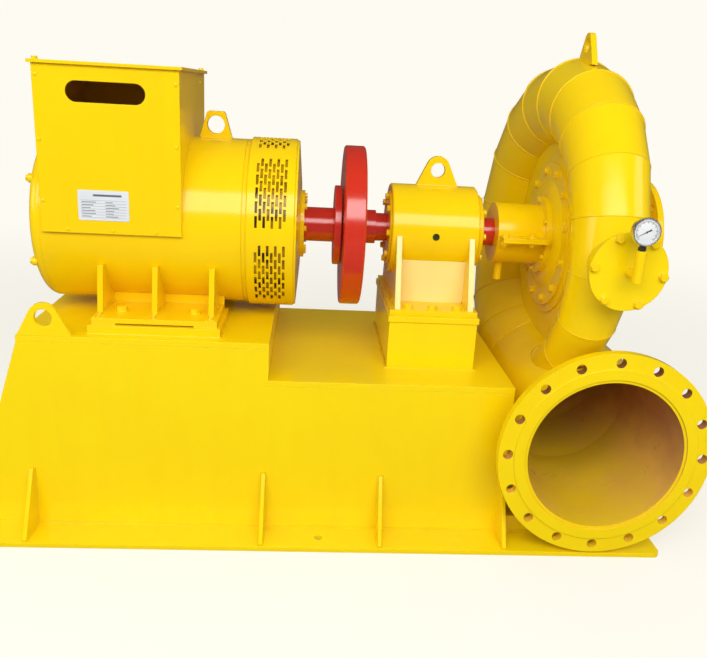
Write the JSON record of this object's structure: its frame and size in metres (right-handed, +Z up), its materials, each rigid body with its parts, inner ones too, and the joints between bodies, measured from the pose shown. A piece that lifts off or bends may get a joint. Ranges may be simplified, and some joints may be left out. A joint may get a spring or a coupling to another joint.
{
  "type": "hydroelectric generator",
  "caption": "Horizontal Francis turbine with a mitred spiral case, driving a generator through a bearing and a flywheel on one stepped welded base.",
  "frame": {"origin": "on the floor, under the shaft line, at the middle of the base plate's underside", "axes": "+X along the shaft from the generator to the turbine's outlet, -Y out of the inlet flange, +Z up"},
  "size_m": [1.9805, 1.1917, 1.3534],
  "materials": {
    "yellow_paint": "gloss",
    "red_paint": "gloss",
    "gauge_steel": "satin"
  },
  "bodies": {
    "set": {"back_panel": "yellow_paint", "base_plate": "yellow_paint", "bearing_covers": "yellow_paint", "bearing_housing": "yellow_paint", "bearing_lug": "yellow_paint", "case_lug": "yellow_paint", "drive_end_shield": "yellow_paint", "end_plates": "yellow_paint", "front_panel": "yellow_paint", "gauge_pipe": "yellow_paint", "generator_feet": "yellow_paint", "generator_frame": "yellow_paint", "generator_lug": "yellow_paint", "gland_lower_half": "yellow_paint", "gland_upper_half": "yellow_paint", "gussets": "yellow_paint", "hand_hole_cover": "yellow_paint", "hand_hole_neck": "yellow_paint", "head_cover": "yellow_paint", "inlet_flange": "yellow_paint", "inlet_pipe": "yellow_paint", "lifting_eyes": "yellow_paint", "lower_deck": "yellow_paint", "outlet_cone": "yellow_paint", "outlet_flange": "yellow_paint", "pedestal_frame": "yellow_paint", "pedestal_plinth": "yellow_paint", "plinth_bars": "yellow_paint", "pressure_gauge": "gauge_steel", "rear_end_cover": "yellow_paint", "spiral_segment_1": "yellow_paint", "spiral_segment_2": "yellow_paint", "spiral_segment_3": "yellow_paint", "spiral_segment_4": "yellow_paint", "spiral_segment_5": "yellow_paint", "spiral_segment_6": "yellow_paint", "spiral_tail": "yellow_paint", "stay_ring": "yellow_paint", "terminal_box": "yellow_paint", "terminal_box_lid": "yellow_paint", "upper_deck": "yellow_paint", "ventilation_band": "yellow_paint"},
    "rotor": {"shaft": "red_paint", "coupling_disc": "red_paint", "flywheel": "red_paint"}
  },
  "joints": [
    {"name": "rotor_spin", "type": "hinge", "parent": "set", "child": "rotor", "pos_m": [0.1, 0, 0.795], "axis": [1, 0, 0], "continuous": true}
  ]
}
